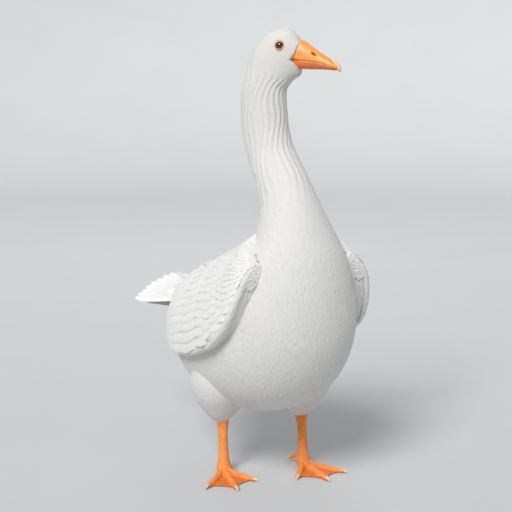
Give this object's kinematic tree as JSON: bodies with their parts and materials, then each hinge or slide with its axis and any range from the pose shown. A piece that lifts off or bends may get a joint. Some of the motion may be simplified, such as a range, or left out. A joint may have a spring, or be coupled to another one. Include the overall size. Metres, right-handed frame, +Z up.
{
  "type": "domestic goose",
  "caption": "White domestic goose standing with its long neck up, head turned slightly to its left, wings folded and both webbed feet flat on the floor.",
  "frame": {"origin": "on the floor between the soles, under the middle of the whole goose's box", "axes": "+Z up, the goose faces -Y with its left side at +X, and its head and bill turn about 40 degrees to its left"},
  "size_m": [0.3625, 0.6244, 0.8996],
  "materials": {
    "plumage": "white feathers, matte",
    "bill": "orange horn and skin, satin",
    "nail": "pale horn, satin",
    "eye": "dark, wet and glossy",
    "leg": "orange scaled skin, satin",
    "claw": "pale horn, satin"
  },
  "bodies": {
    "root": {"torso": "plumage", "neck_lower": "plumage", "neck_upper": "plumage", "head": "plumage", "tail": "plumage", "wing_left": "plumage", "wing_right": "plumage", "thigh_left": "plumage", "thigh_right": "plumage", "bill_upper": "bill", "bill_lower": "bill", "bill_nail": "nail", "eye_left": "eye", "eye_right": "eye", "tarsus_left": "leg", "foot_left": "leg", "claw_left_inner": "claw", "claw_left_middle": "claw", "claw_left_outer": "claw", "claw_left_hind": "claw", "tarsus_right": "leg", "foot_right": "leg", "claw_right_inner": "claw", "claw_right_middle": "claw", "claw_right_outer": "claw", "claw_right_hind": "claw"}
  },
  "joints": []
}
